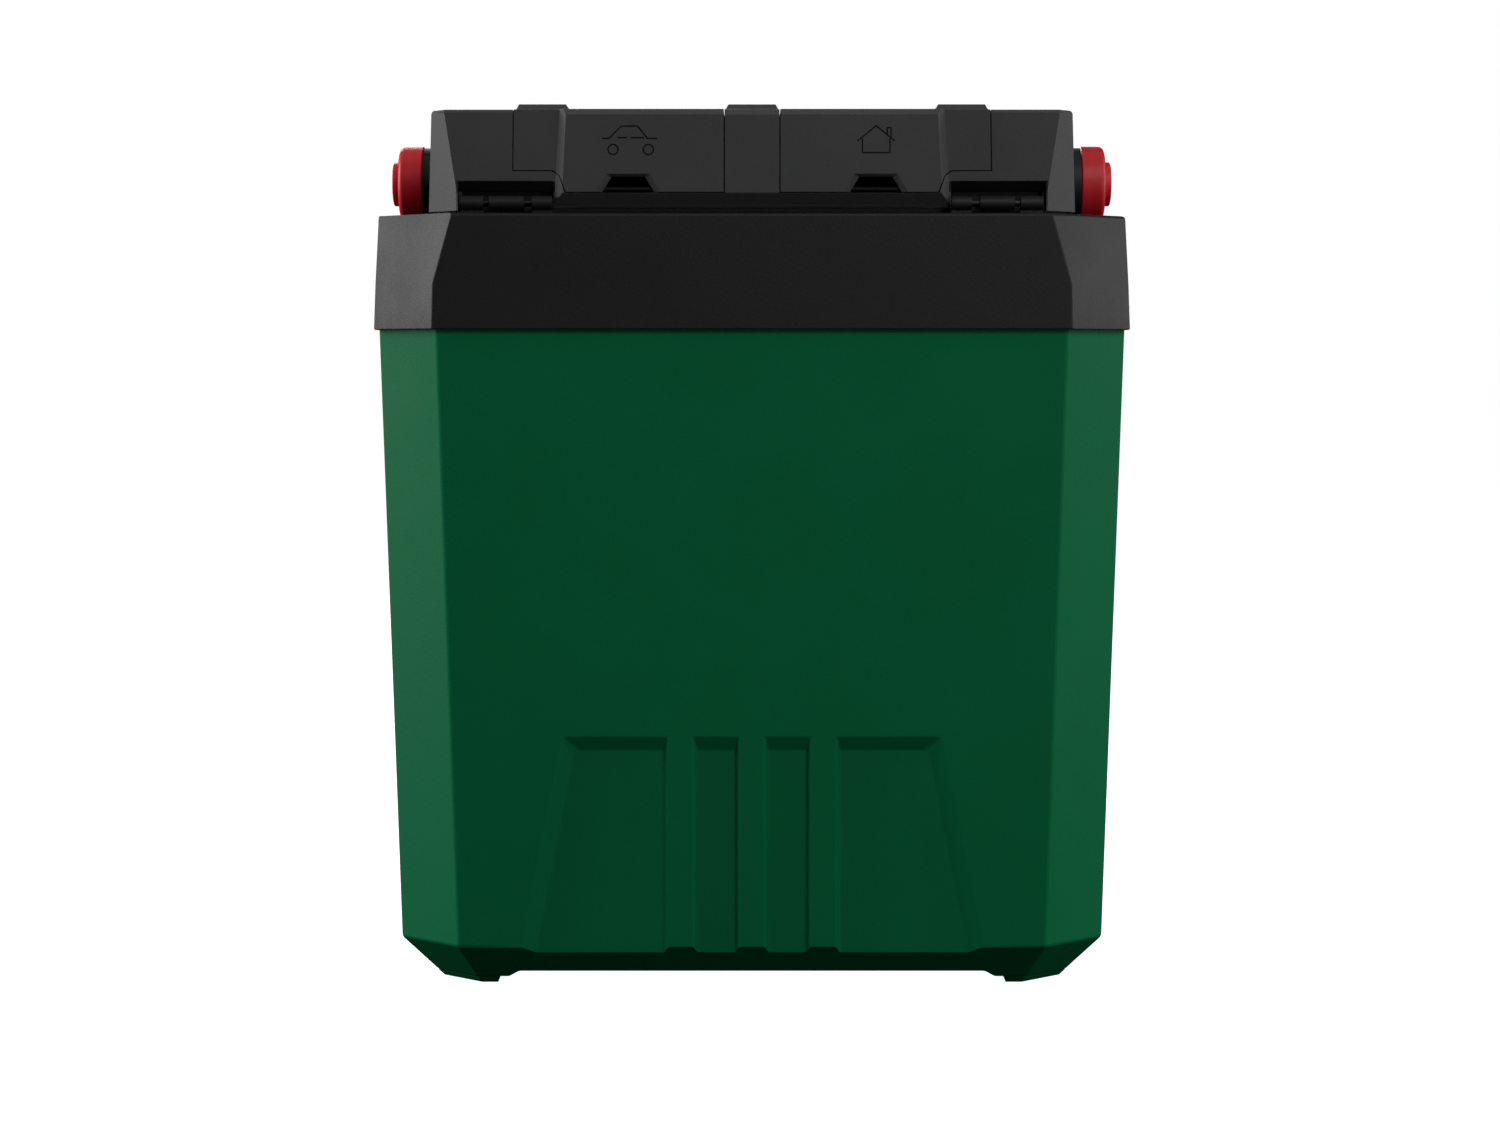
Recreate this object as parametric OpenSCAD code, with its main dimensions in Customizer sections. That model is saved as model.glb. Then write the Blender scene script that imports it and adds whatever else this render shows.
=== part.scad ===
// Electric cool box with a hinged lid that holds the cooling unit and two cord bays.
// Frame: +Z up, -Y is the front, the origin is on the floor under the middle of the box.

/* [Body] */
// Width of the body where it meets the collar
body_top_w = 394; // [390:1:396]
// Depth of the body where it meets the collar
body_top_d = 294; // [290:1:296]
// Width of the body at the break line above the feet
body_low_w = 376; // [370:1:380]
// Depth of the body at the break line above the feet
body_low_d = 278; // [274:1:280]
// Height of the break line where the walls turn in towards the feet
break_z = 24.2; // [20:0.1:26]
// Thickness of the outer wall
wall = 2.6; // [2:0.1:3]

/* [Rear and front panels] */
// Depth of the recessed panel
recess_depth = 4; // [3:0.1:4.5]
// Height of the panel's upper edge
recess_top_z = 136.1; // [120:0.1:150]
// Distance between two ribs
rib_pitch = 37.6; // [36:0.1:40]
// Width of one rib
rib_w = 13.4; // [12:0.1:15]

/* [Collar] */
// Height of the collar's lower edge
collar_z = 349.3; // [348:0.1:351]
// Height of the crease round the collar
crease_z = 373; // [370:0.1:380]
// Height of the collar's deck
deck_z = 409.5; // [409.5:0.1:409.6]

/* [Lid] */
// Height of the lid's lower edge
lid_z = 410.9; // [410.8:0.1:411]
// Height of the lid's top face
lid_top_z = 463.4; // [463:0.1:464]
// Wall thickness of the lid housing
lid_wall = 2.6; // [2.4:0.1:2.8]
// Height of the three rails on the lid
rail_h = 3.3; // [2.5:0.1:3.5]

/* [Hinges and handle] */
// Distance of the lid hinge axis behind the middle
hinge_y = 140; // [139.8:0.1:140.2]
// Height of the lid hinge axis
hinge_z = 414.8; // [414.7:0.1:415]
// Height of the handle pivots
pivot_z = 432.6; // [432:0.1:433]
// Distance of the handle bar in front of the pivots
bar_y = 135.7; // [135.5:0.1:135.8]

/* [Cooling unit] */
// Radius of the outer fan's blades
outer_fan_r = 41; // [36:1:42]
// Radius of the inner fan's blades
inner_fan_r = 33; // [30:1:34]
// Number of blades on each fan
fan_blades = 7; // [5:1:9]

/* [Hidden] */

$fn = 64;
eps = 0.01;
gap = 0.3;
green = "#0c4a30";
black = "#2a2b2c";
red = "#b02028";
pale = "#d7dadc";
metal = "#a9adb1";

// Octagon levels: height, half width, half depth, corner cut in X, corner cut in Y
foot_level = [0, 167, 112, 22, 20];
break_level = [break_z, body_low_w / 2, body_low_d / 2, 33, 30];
body_top_level = [collar_z, body_top_w / 2, body_top_d / 2, 33, 30];
rim_z = collar_z + 10.7;
body_levels = [foot_level, break_level, grow(break_level, body_top_level, rim_z)];
floor_z = 10.5;
underside_z = 7.5;
pad_z = 3.8;
recess_slope = 7.6;

collar_levels = [
    [collar_z, 199.6, 150, 33.6, 30.5],
    [crease_z, 198.7, 149.2, 33.3, 30.2],
    [deck_z, 197.8, 148, 42.5, 38.6]
];
collar_wall = 3.2;
ledge_z = rim_z + 0.5;

lid_mid_y = 10;
lid_half_d = 128;
lid_levels = [
    [lid_z, 170.2, lid_half_d, 18, 19],
    [lid_top_z, 167.4, lid_half_d, 7.2, 7.6]
];
wing_y = lid_mid_y + lid_half_d;
lid_front_y = lid_mid_y - lid_half_d;
block_y = 144;
block_bottom_z = 419.9;
wing_bevel_z = 426.2;
pocket_roof_z = 421.1;
pocket_y = 129.5;

// Recess along the lid's rear edge, under the raised middle: its front, its roof, the end of the
// roof and the height of the bevel behind it
sill_y = 131;
sill_z = 412.6;
sill_end_y = wing_y - 1.3;
sill_bevel = 12.4;
pocket_x = [103.8, 151.2];
wing_cut_x = 153.2;

knuckle_r = 3.75;
collar_knuckles = [[103.8, 114.2], [139.5, 151.2]];
lid_knuckle = [118.4, 136.4];
pin_r = 1.8;

door_axis_y = 97;
door_axis_z = lid_top_z - 3;
door_barrel_r = 2.4;
door_pin_r = 1.2;
door_barrels = [[26.4, 61.6], [76.4, 111.6]];
door_lugs = [[20, 26], [62, 76], [112, 118]];
door_gap = 0.45;
notch_x = 64.3;

rail_rear_y = 131;
rail_front_y = -97;
rail_outer = [95.5, 123.3];
rail_centre = [-14, 14];

liner_top = [152, 105, 12];
liner_low = [143, 97, 12];
liner_y = 6;
liner_floor_z = 36;
liner_wall = 2;

unit_y = 6;
plug_z = 382;

function grow(a, b, z) = [for (i = [0:4]) a[i] + (b[i] - a[i]) * (z - a[0]) / (b[0] - a[0])];

// Octagon with half sizes hx, hy and corner cuts cx, cy, all drawn in by t and moved to oy
function octagon(hx, hy, cx, cy, t, oy) =
    let (k = 1 - t * (cx + cy - norm([cx, cy])) / (cx * cy), x = hx - t, y = hy - t, a = cx * k, b = cy * k)
    [
        [x, oy + y - b], [x - a, oy + y], [a - x, oy + y], [-x, oy + y - b],
        [-x, oy - y + b], [a - x, oy - y], [x - a, oy - y], [x, oy - y + b]
    ];

// Solid through a stack of outlines with the same number of points, one at each height
module loft(heights, rings) {
    n = len(rings[0]);
    last = len(heights) - 1;
    polyhedron(
        points = [for (i = [0:last]) for (p = rings[i]) [p[0], p[1], heights[i]]],
        faces = concat(
            [[for (j = [0:n - 1]) j]],
            [for (i = [0:last - 1]) for (j = [0:n - 1])
                [i * n + j, (i + 1) * n + j, (i + 1) * n + (j + 1) % n, i * n + (j + 1) % n]],
            [[for (j = [n - 1:-1:0]) last * n + j]]
        )
    );
}

module octagon_form(levels, t = 0, oy = 0) {
    loft([for (l = levels) l[0]], [for (l = levels) octagon(l[1], l[2], l[3], l[4], t, oy)]);
}

module block(low, high) {
    translate(low) cube(high - low);
}

module both_sides() {
    children();
    mirror([1, 0, 0]) children();
}

module front_and_back() {
    children();
    mirror([0, 1, 0]) children();
}

module x_rod(x0, x1, y, z, r) {
    translate([x0, y, z]) rotate([0, 90, 0]) cylinder(h = x1 - x0, r = r);
}

module y_rod(x, z, y0, y1, r) {
    translate([x, y1, z]) rotate([90, 0, 0]) cylinder(h = y1 - y0, r = r);
}

module z_rod(x, y, z0, z1, r) {
    translate([x, y, z0]) cylinder(h = z1 - z0, r = r);
}

// Outline given in X and Z, drawn out along Y
module y_prism(points, y0, y1) {
    translate([0, y1, 0]) rotate([90, 0, 0]) linear_extrude(y1 - y0) polygon(points);
}

// Outline given in Y and Z, drawn out along X
module x_prism(points, x0, x1) {
    translate([x0, 0, 0]) rotate([90, 0, 90]) linear_extrude(x1 - x0) polygon(points);
}

module rounded_rect(hx, hy, r) {
    for (s = [-1, 1])
        for (t = [-1, 1])
            translate([s * (hx - r), t * (hy - r)]) circle(r);
    square([2 * hx, 2 * (hy - r)], center = true);
    square([2 * (hx - r), 2 * hy], center = true);
}

// Tapered tub with round upright corners, sizes are half width, half depth, corner radius
module tub(z0, low, z1, high, t = 0) {
    hull()
        for (e = [[z0, low, 2], [z0 + 2, low, 0], [z1, high, 0]])
            for (s = [-1, 1])
                for (u = [-1, 1])
                    translate([s * (e[1][0] + t - e[1][2]), liner_y + u * (e[1][1] + t - e[1][2]), e[0]])
                        cylinder(h = eps, r = e[1][2] - e[2], $fn = 32);
}

// ---------------------------------------------------------------- body

// One column of the sunk panel, from its outline on the wall to its floor. The widths are those at
// the upper and the lower end, s0 and s1 say how far its two sides slope in, cut bevels one corner
module recess_column(x0, x1, x1_low, s0, s1, cut) {
    low = -20;
    top = recess_top_z;
    slant = (x1_low - x1) / (top - cut - low);
    outer = [[x0, low], [x1_low, low], [x1, top - cut], [x1 - cut * 0.7, top], [x0, top]];
    inner = [
        [x0 + s0, low], [x1_low - s1 - slant * recess_slope, low], [x1 - s1, top - cut - recess_slope],
        [x1 - s1 - cut * 0.7, top - recess_slope], [x0 + s0, top - recess_slope]
    ];
    rise = 4;
    loft([-rise, 0, recess_depth], [
        [for (i = [0:4]) outer[i] + (outer[i] - inner[i]) * rise / recess_depth],
        outer,
        inner
    ]);
}

// Sunk panel on the rear wall, with three ribs left standing flush with the wall
module rear_recess() {
    lean = atan((body_top_d - body_low_d) / 2 / (collar_z - break_z));
    half = rib_w / 2;
    translate([0, body_low_d / 2, break_z]) rotate([90 - lean, 0, 0]) translate([0, -break_z, 0])
        both_sides() {
            recess_column(rib_pitch + half, 100.7, 131.1, 2, 7, 3);
            recess_column(half, rib_pitch - half, rib_pitch - half, 2, 2, 0.02);
        }
}

module underside_relief() {
    y_prism([[-124.4, underside_z], [124.4, underside_z], [130, pad_z], [133, pad_z], [133, -1],
        [-133, -1], [-133, pad_z], [-130, pad_z]], -160, 160);
    x_prism([[-72, underside_z], [72, underside_z], [78, pad_z], [81, pad_z], [81, -1],
        [-81, -1], [-81, pad_z], [-78, pad_z]], -210, 210);
}

module outer_shell() {
    color(green)
    difference() {
        octagon_form(body_levels);
        intersection() {
            octagon_form(concat(body_levels, [[rim_z + 1, 197.4, 147.2, 33, 30]]), wall);
            block([-220, -170, floor_z], [220, 170, rim_z + 2]);
            block([-220, 7.5 - body_low_d / 2, floor_z], [220, body_low_d / 2 - 7.5, rim_z + 2]);
        }
        front_and_back() rear_recess();
        underside_relief();
        block([-220, -170, -1], [220, 170, pad_z]);
    }
}

module foot_pads() {
    color(green)
    both_sides() front_and_back()
        intersection() {
            octagon_form([foot_level, grow(foot_level, break_level, pad_z)]);
            translate([166.3, 112, 0]) linear_extrude(pad_z) rounded_rect(30, 30, 3);
        }
}

module foam_insulation() {
    color("#e8dcb0")
    difference() {
        intersection() {
            octagon_form(body_levels, wall + 0.2);
            block([-220, 7.7 - body_low_d / 2, floor_z + 0.2], [220, body_low_d / 2 - 7.7, collar_z]);
        }
        tub(liner_floor_z - liner_wall - 0.2, liner_low, deck_z, liner_top, liner_wall + 0.2);
    }
}

module inner_liner() {
    color(pale)
    difference() {
        union() {
            tub(liner_floor_z - liner_wall, liner_low, deck_z - 0.4, liner_top, liner_wall);
            translate([0, liner_y, deck_z - 2.4]) linear_extrude(2) rounded_rect(161, 114, 28);
        }
        tub(liner_floor_z, liner_low, deck_z + 0.1, liner_top);
    }
}

// ---------------------------------------------------------------- collar

module ear_outline() {
    polygon([[-25, deck_z - 1], [-19.6, pivot_z - 6], [19.6, pivot_z - 6], [25, deck_z - 1]]);
    translate([0, pivot_z]) circle(20.3);
}

module top_collar() {
    color(black)
    difference() {
        union() {
            octagon_form(collar_levels);
            both_sides() {
                translate([172.3, 0, 0]) rotate([90, 0, 90]) linear_extrude(5) ear_outline();
                for (k = collar_knuckles) {
                    x_rod(k[0], k[1], hinge_y, hinge_z, knuckle_r);
                    block([k[0], hinge_y - knuckle_r, deck_z - 1], [k[1], hinge_y + 0.8, hinge_z]);
                }
            }
        }
        octagon_form([
            grow(break_level, body_top_level, collar_z - 1),
            grow(break_level, body_top_level, ledge_z)
        ], -gap);
        octagon_form([[ledge_z - 1, 184, 134, 30, 27], [ledge_z + 4, 184, 134, 30, 27]]);
        octagon_form([
            [ledge_z + 3, 198.7, 149.2, 33.3, 30.2],
            [crease_z, 198.7, 149.2, 33.3, 30.2],
            [deck_z - 3.5, 197.9, 148.1, 41.6, 37.8]
        ], collar_wall);
        translate([0, liner_y, deck_z - 4]) linear_extrude(5) rounded_rect(155.5, 108.5, 14.5);
        translate([0, liner_y, deck_z - 2.6]) linear_extrude(4) rounded_rect(161.3, 114.3, 28.3);
        both_sides() {
            x_rod(172, 178, 0, pivot_z, 6.02);
            x_rod(103, 152, hinge_y, hinge_z, pin_r + 0.02);
        }
        for (p = collar_screw_places) {
            z_rod(p[0], p[1], deck_z - 5, deck_z + 1, 2.1);
            translate([p[0], p[1], deck_z - 2]) cylinder(h = 2.1, r1 = 2.1, r2 = 4.2);
        }
    }
}

collar_screw_places = [
    for (x = [-145, 0, 145]) [x, -126],
    for (x = [-80, 0, 80]) [x, 126]
];

module collar_screws() {
    color(metal)
    for (p = collar_screw_places)
        difference() {
            union() {
                z_rod(p[0], p[1], deck_z - 15, deck_z - 2, 2);
                translate([p[0], p[1], deck_z - 2]) cylinder(h = 1.9, r1 = 2, r2 = 4);
            }
            z_rod(p[0], p[1], deck_z - 1.6, deck_z, 1.4);
        }
}

module collar_insulation() {
    color("#e8dcb0")
    difference() {
        octagon_form([
            [ledge_z + 4.2, 198.7, 149.2, 33.3, 30.2],
            [crease_z, 198.7, 149.2, 33.3, 30.2],
            [deck_z - 3.8, 197.9, 148.1, 41.6, 37.8]
        ], collar_wall + 0.3);
        tub(liner_floor_z - liner_wall - 0.2, liner_low, deck_z, liner_top, liner_wall + 0.2);
        for (p = collar_screw_places)
            z_rod(p[0], p[1], deck_z - 16, deck_z, 2.3);
    }
}

module hinge_pins() {
    color(metal)
    both_sides()
        x_rod(104, 151, hinge_y, hinge_z, pin_r);
}

module pivot_pins() {
    color(metal)
    both_sides() {
        x_rod(172.3, 191, 0, pivot_z, 6);
        x_rod(171, 172.3, 0, pivot_z, 8);
    }
}

// ---------------------------------------------------------------- lid

// Raised middle of the lid's rear wall, wider towards its foot
module rear_block(t) {
    intersection() {
        loft([lid_z - 5, lid_top_z + 5], [
            [[103.6 - t, 120], [103.6 - t, wing_y], [99.2 - 0.6 * t, block_y - t],
                [-99.2 + 0.6 * t, block_y - t], [-103.6 + t, wing_y], [-103.6 + t, 120]],
            [[99.6 - t, 120], [99.6 - t, wing_y], [96 - 0.6 * t, block_y - t],
                [-96 + 0.6 * t, block_y - t], [-99.6 + t, wing_y], [-99.6 + t, 120]]
        ]);
        x_prism([
            [110, lid_top_z - t], [block_y - 3, lid_top_z - t], [block_y - t, lid_top_z - 3 - 0.4 * t],
            [block_y - t, block_bottom_z + 0.4 * t], [137 - 0.8 * t, 413], [137 - 0.8 * t, lid_z - 1],
            [110, lid_z - 1]
        ], -120, 120);
    }
}

// What is missing under the wings: a bevel, then the pocket for the hinge knuckles. Under the raised
// middle a recess runs along the lid's edge
module wing_undercut(t) {
    k = 0.414 * t;
    both_sides() {
        difference() {
            x_prism([
                [133 - t, lid_z - 2], [133 - t, pocket_roof_z + t], [133 - k, pocket_roof_z + t],
                [wing_y - t, wing_bevel_z + k], [wing_y + 20, wing_bevel_z + k], [wing_y + 20, lid_z - 2]
            ], 90, wing_cut_x + t);
            rear_block(t);
        }
        block([pocket_x[0] - t, pocket_y - t, lid_z - 2], [pocket_x[1] + t, wing_y, pocket_roof_z + t]);
    }
    x_prism([
        [sill_y - t, lid_z - 2], [sill_y - t, sill_z + t], [sill_end_y - k, sill_z + t],
        [sill_end_y + sill_bevel - k, sill_z + sill_bevel + t], [wing_y + 20, lid_z - 2]
    ], -pocket_x[0] - t, pocket_x[0] + t);
}

module lid_solid(t = 0) {
    difference() {
        union() {
            if (t == 0) octagon_form(lid_levels, 0, lid_mid_y);
            else intersection() {
                octagon_form([grow(lid_levels[0], lid_levels[1], lid_z - 1), lid_levels[1]], t, lid_mid_y);
                block([-200, -200, 0], [200, 200, lid_top_z - t]);
            }
            rear_block(t);
        }
        wing_undercut(t);
    }
}

module rail(x0, x1, y0, y1) {
    s = 1.6;
    loft([lid_top_z - 1, lid_top_z, lid_top_z + rail_h], [
        [[x0, y0], [x1, y0], [x1, y1], [x0, y1]],
        [[x0, y0], [x1, y0], [x1, y1], [x0, y1]],
        [[x0 + s, y0 + s], [x1 - s, y0 + s], [x1 - s, y1 - s], [x0 + s, y1 - s]]
    ]);
}

module lid_skin() {
    difference() {
        union() {
            lid_solid(0);
            rail(rail_centre[0], rail_centre[1], -60, rail_rear_y);
            both_sides() {
                rail(rail_outer[0], rail_outer[1], rail_front_y, 92.4);
                rail(rail_outer[0], rail_outer[1], 105.6, rail_rear_y);
            }
        }
        lid_solid(lid_wall);
    }
}

// Outline of one cord door as seen from behind, drawn in by g
function door_outline(g) = [
    [14.25 + g, lid_top_z + 10], [14.25 + g, block_bottom_z + g], [97 - g, block_bottom_z + g],
    [100.4 - g, 429], [104 - g, 431.4 + g], [124.7 - g, 431.4 + g], [124.1 - g, lid_top_z + 10]
];

// The corner of the lid that a door takes up, behind its hinge line. The door's front edge is bevelled
module door_corner(g, front, bevel) {
    intersection() {
        y_prism(door_outline(g), 90, 160);
        x_prism([
            [front, 400], [front, lid_top_z - bevel], [front + bevel, lid_top_z], [front + bevel, 480],
            [160, 480], [160, 400]
        ], 0, 140);
    }
}

module door_hole() {
    door_corner(0, door_axis_y - 3.6, 0.02);
}

module door_blank() {
    door_corner(door_gap, door_axis_y - 1.6, 1.4);
}

module vent_window(x0, x1, y0, y1, z0, z1, r) {
    translate([(x0 + x1) / 2, (y0 + y1) / 2, z0])
        linear_extrude(z1 - z0) rounded_rect((x1 - x0) / 2, (y1 - y0) / 2, r);
}

vent = [22, 88, -52, 78];
panel = [-40, 40, -104, -76];

// The lower rear part of the lid that holds a hinge, drawn in by g
module hinge_seat(g) {
    block([pocket_x[0] + g, pocket_y - lid_wall + g, lid_z - 1],
        [pocket_x[1] + lid_wall - g, wing_y + 1, wing_bevel_z - g]);
}

module lid_housing() {
    color(black)
    difference() {
        lid_skin();
        both_sides() {
            door_hole();
            hinge_seat(0);
            vent_window(vent[0], vent[1], vent[2], vent[3], lid_top_z - 4, lid_top_z + 1, 6);
        }
        vent_window(panel[0], panel[1], panel[2], panel[3], lid_top_z - 4, lid_top_z + 1, 4);
    }
}

// Seat and knuckle of one lid hinge
module lid_hinge() {
    difference() {
        union() {
            intersection() {
                lid_skin();
                hinge_seat(0.04);
            }
            x_rod(lid_knuckle[0], lid_knuckle[1], hinge_y, hinge_z, knuckle_r);
            block([lid_knuckle[0], pocket_y - 0.5, hinge_z - 1.8], [lid_knuckle[1], hinge_y, hinge_z + 2.4]);
        }
        x_rod(103, 152, hinge_y, hinge_z, pin_r + 0.06);
    }
}

module lid_hinge_left() {
    color(black) mirror([1, 0, 0]) lid_hinge();
}

module lid_hinge_right() {
    color(black) lid_hinge();
}

// The two strips under the lid's top that hold the hinge lugs of the cord doors
module door_hinge_strips() {
    color(black)
    both_sides()
        difference() {
            union() {
                block([18, 89.6, 451], [120, door_axis_y - 3.6, lid_top_z - lid_wall - 0.05]);
                for (l = door_lugs) {
                    x_rod(l[0], l[1], door_axis_y, door_axis_z, door_barrel_r);
                    block([l[0], 92, door_axis_z - door_barrel_r], [l[1], door_axis_y, door_axis_z]);
                }
            }
            x_rod(19, 119, door_axis_y, door_axis_z, door_pin_r + 0.02);
        }
}

module vent_grille() {
    louvres = 16;
    pitch = (vent[3] - vent[2] - 6) / louvres;
    difference() {
        vent_window(vent[0] + 0.2, vent[1] - 0.2, vent[2] + 0.2, vent[3] - 0.2,
            lid_top_z - 3.2, lid_top_z - 0.4, 5.8);
        for (i = [0:louvres - 1])
            for (h = [0, 1])
                block([vent[0] + 4 + h * 31.5, vent[2] + 4.5 + i * pitch, lid_top_z - 5],
                    [vent[0] + 30.5 + h * 31.5, vent[2] + 4.5 + i * pitch + 3.6, lid_top_z + 1]);
    }
}

module vent_grille_left() {
    color("#1d1e1f") mirror([1, 0, 0]) vent_grille();
}

module vent_grille_right() {
    color("#1d1e1f") vent_grille();
}

light_x = [-29, 29];
switch_slot = [30, 6];

module control_panel() {
    color("#1d1e1f")
    difference() {
        vent_window(panel[0] + 0.2, panel[1] - 0.2, panel[2] + 0.2, panel[3] - 0.2,
            lid_top_z - 3.4, lid_top_z - 1, 3.8);
        translate([0, (panel[2] + panel[3]) / 2, lid_top_z - 4])
            linear_extrude(5) square(switch_slot, center = true);
        for (x = light_x)
            z_rod(x, (panel[2] + panel[3]) / 2, lid_top_z - 4, lid_top_z, 2.6);
    }
}

module indicator_lights() {
    for (x = light_x)
        color(x < 0 ? "#2fae4c" : "#c8362c")
        translate([x, (panel[2] + panel[3]) / 2, 0]) {
            z_rod(0, 0, lid_top_z - 8, lid_top_z - 1.4, 2.5);
            intersection() {
                translate([0, 0, lid_top_z - 3]) sphere(3.2, $fn = 40);
                z_rod(0, 0, lid_top_z - 1.4, lid_top_z + 1, 2.5);
            }
        }
}

module mode_switch() {
    y = (panel[2] + panel[3]) / 2;
    color("#3a3c3e")
    difference() {
        union() {
            block([-3.4, y - 2.6, lid_top_z - 6], [3.4, y + 2.6, lid_top_z - 1]);
            block([-6, y - 4.6, lid_top_z - 0.7], [6, y + 4.6, lid_top_z + 1.6]);
            block([-3.4, y - 2.6, lid_top_z - 1], [3.4, y + 2.6, lid_top_z]);
        }
        for (x = [-3, 0, 3])
            block([x - 0.6, y - 5, lid_top_z + 1.1], [x + 0.6, y + 5, lid_top_z + 2]);
    }
}

module lid_inner_panel() {
    color(pale)
    difference() {
        union() {
            intersection() {
                difference() {
                    octagon_form([[lid_z, 170, lid_half_d, 18, 19], [lid_z + 2.6, 170, lid_half_d, 18, 19]],
                        lid_wall + 0.6, lid_mid_y);
                    block([-200, pocket_y - lid_wall - 0.4, 0], [200, 200, 500]);
                }
                block([-200, -200, lid_z], [200, 200, lid_z + 2.6]);
            }
            plug_form(0, plug_z);
        }
        plug_form(-2, plug_z + 2);
        z_rod(0, unit_y, plug_z - 1, plug_z + 20, 38);
        for (p = lid_screw_places)
            z_rod(p[0], p[1], lid_z - 1, lid_z + 4, 2.1);
        for (a = [45:90:315])
            translate([0, unit_y, 0]) rotate(a) z_rod(41, 0, plug_z - 1, plug_z + 8, 0.8);
    }
}

// The part of the lid that reaches down into the opening of the liner
module plug_form(t, z0) {
    hull()
        for (e = [[z0, 139, 90.5, 14], [lid_z + 2.7, 145, 98, 18]])
            for (s = [-1, 1])
                for (u = [-1, 1])
                    translate([s * (e[1] + t - e[3]), liner_y + 2 + u * (e[2] + t - e[3]), e[0]])
                        cylinder(h = eps, r = e[3], $fn = 32);
}

module lid_insulation() {
    color("#f3f3ee")
    difference() {
        intersection() {
            plug_form(-2.3, plug_z + 2.3);
            block([-200, -200, 0], [200, 200, lid_z + 2.4]);
        }
        translate([0, unit_y, 0]) linear_extrude(500) square([100, 100], center = true);
    }
}

module lid_seal() {
    color("#3c3c3c")
    translate([0, liner_y, deck_z + gap])
        difference() {
            linear_extrude(lid_z - deck_z - gap) rounded_rect(159, 112, 26);
            translate([0, 0, -1]) linear_extrude(5) rounded_rect(151.5, 104.5, 19);
        }
}

lid_screw_places = [
    for (x = [-150, 0, 150]) [x, -110.5],
    for (x = [-163, 163]) [x, 20],
    for (x = [-60, 60]) [x, 122.5]
];

module lid_screws() {
    color(metal)
    for (p = lid_screw_places) {
        z_rod(p[0], p[1], lid_z - 0.9, lid_z, 3.6);
        z_rod(p[0], p[1], lid_z, lid_z + 9.4, 2);
    }
}

// ---------------------------------------------------------------- cord bays and doors

bay_floor_z = 423;
bay_wall = 1.6;
bay_x = [16, 120.5];
bay_front_y = 101.2;
bay_top_z = lid_top_z - 7;
gland_x = 40;
gland_z = 441;
gland_r = 6;
cord_r = 3.4;

// Tray behind one cord door, open to the rear and the top
module cord_bay() {
    difference() {
        intersection() {
            lid_solid(lid_wall + 0.5);
            block([bay_x[0], bay_front_y, bay_floor_z - bay_wall], [bay_x[1], 150, bay_top_z]);
        }
        block([bay_x[0] + bay_wall, bay_front_y + bay_wall, bay_floor_z], [bay_x[1] - bay_wall, 160, lid_top_z]);
        y_rod(gland_x, gland_z, bay_front_y - 1, bay_front_y + 3, gland_r + 0.02);
    }
}

module cord_bay_left() {
    color("#242526") mirror([1, 0, 0]) cord_bay();
}

module cord_bay_right() {
    color("#242526") cord_bay();
}

// Rubber gland in the tray's wall, from which the supply lead comes
module cord_gland() {
    collar_y = bay_front_y + bay_wall + 0.1;
    difference() {
        union() {
            translate([gland_x, collar_y + 4.6, gland_z]) rotate([90, 0, 0]) cylinder(h = 4.6, r1 = 5.6, r2 = 8);
            y_rod(gland_x, gland_z, collar_y - 6, collar_y, gland_r);
        }
        y_rod(gland_x, gland_z, collar_y - 10, collar_y + 10, cord_r);
    }
}

module cord_gland_left() {
    color("#151515") mirror([1, 0, 0]) cord_gland();
}

module cord_gland_right() {
    color("#151515") cord_gland();
}

function notch_outline(top_half, top, low_half) = [
    [notch_x - top_half, top], [notch_x - low_half, block_bottom_z - 1],
    [notch_x + low_half, block_bottom_z - 1], [notch_x + top_half, top]
];

// Finger notch at the foot of a door, where the cord also comes out
module door_notch() {
    y_prism(notch_outline(8.6, 428.2, 14.4), 120, 160);
    multmatrix([[1, 0, 0, 0], [0, 0, -1, 0], [0, 1, 0, 0], [0, 0, 0, 1]])
        loft([-block_y - eps, 1.9 - block_y], [notch_outline(11.4, 429.7, 17.5), notch_outline(8.6, 428.2, 14.4)]);
}

module stroke(a, b, w = 0.8) {
    d = b - a;
    translate(a) rotate(atan2(d[1], d[0])) translate([0, -w / 2]) square([norm(d), w]);
}

module car_icon() {
    stroke([49, 447.9], [54.2, 447.9]);
    stroke([54, 447.7], [59.4, 454.4]);
    stroke([59, 454.2], [68, 454.2]);
    stroke([67.6, 454.4], [74.2, 447.7]);
    stroke([74, 447.9], [77.6, 447.9]);
    stroke([55.9, 448.3], [63, 448.3]);
    stroke([64.6, 448.3], [69.8, 448.3]);
    for (x = [53.7, 72])
        translate([x, 442.2])
            difference() {
                circle(3);
                circle(2.2);
            }
}

module house_icon() {
    stroke([54.6, 446.6], [64.5, 454.6]);
    stroke([64.1, 454.6], [74, 446.6]);
    stroke([57.2, 448], [57.2, 440.2]);
    stroke([71.4, 448], [71.4, 440.2]);
    stroke([56.8, 440.6], [71.8, 440.6]);
    stroke([70, 449.6], [70, 453.4]);
    stroke([72, 448.2], [72, 453.4]);
    stroke([69.6, 453.4], [72.4, 453.4]);
}

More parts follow.
